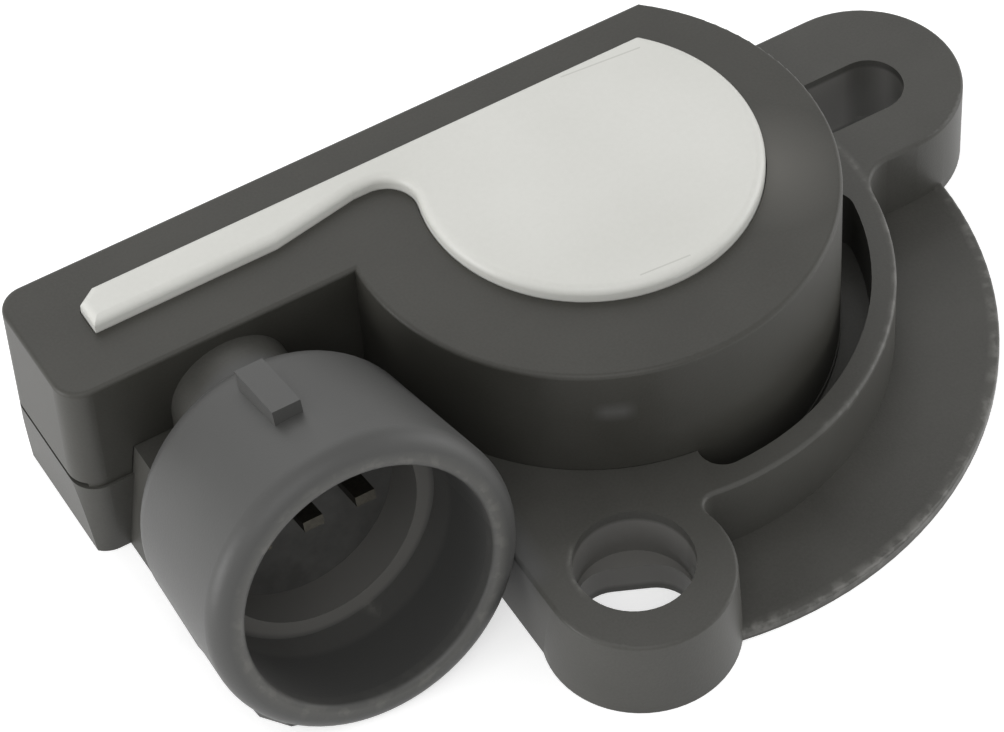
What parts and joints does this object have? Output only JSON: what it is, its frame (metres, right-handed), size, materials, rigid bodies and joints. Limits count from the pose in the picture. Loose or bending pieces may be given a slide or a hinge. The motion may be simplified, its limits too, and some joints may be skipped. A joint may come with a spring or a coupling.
{
  "type": "throttle position sensor",
  "caption": "Throttle position sensor in dark grey plastic with a white cover, two slotted ears and a round angled socket.",
  "frame": {"origin": "where the rotor's axis meets the mounting face", "axes": "+Z away from the engine, towards the white cover; the arm runs towards -X; the socket opens towards -Y"},
  "size_m": [0.0731, 0.0462, 0.0219],
  "materials": {
    "moulding": "fine moulded satin, glass filled",
    "cover": "smooth satin white",
    "sealant": "cured silicone bead",
    "potting": "cured resin",
    "board": "laminate",
    "track": "printed carbon ink",
    "solder": "bright solder",
    "washer_plastic": "low friction plastic",
    "spring_steel": "spring steel",
    "seal": "moulded rubber",
    "terminal": "dulled tinned brass",
    "rotor_plastic": "moulded, hard wearing",
    "contact": "contact alloy"
  },
  "bodies": {
    "housing": {"base_housing": "moulding", "upper_housing": "moulding", "white_cover": "cover", "cover_sealant": "sealant", "terminal_potting": "potting", "resistor_board": "board", "resistor_track": "track", "collector_track": "track", "solder_joints": "solder", "thrust_washer": "washer_plastic", "wave_washer": "spring_steel", "mounting_seal": "seal", "return_spring": "spring_steel", "ground_terminal": "terminal", "signal_terminal": "terminal", "supply_terminal": "terminal"},
    "rotor": {"rotor": "rotor_plastic", "wiper": "contact", "retaining_ring": "spring_steel", "shaft_seal": "seal"}
  },
  "joints": [
    {"name": "rotor_turn", "type": "hinge", "parent": "housing", "child": "rotor", "pos_m": [0, 0, 0], "axis": [0, 0, 1], "range_deg": [0, 100], "stiffness_Nm_per_rad": 0.01, "springref_deg": -57.3, "deforming": ["return_spring"]}
  ]
}
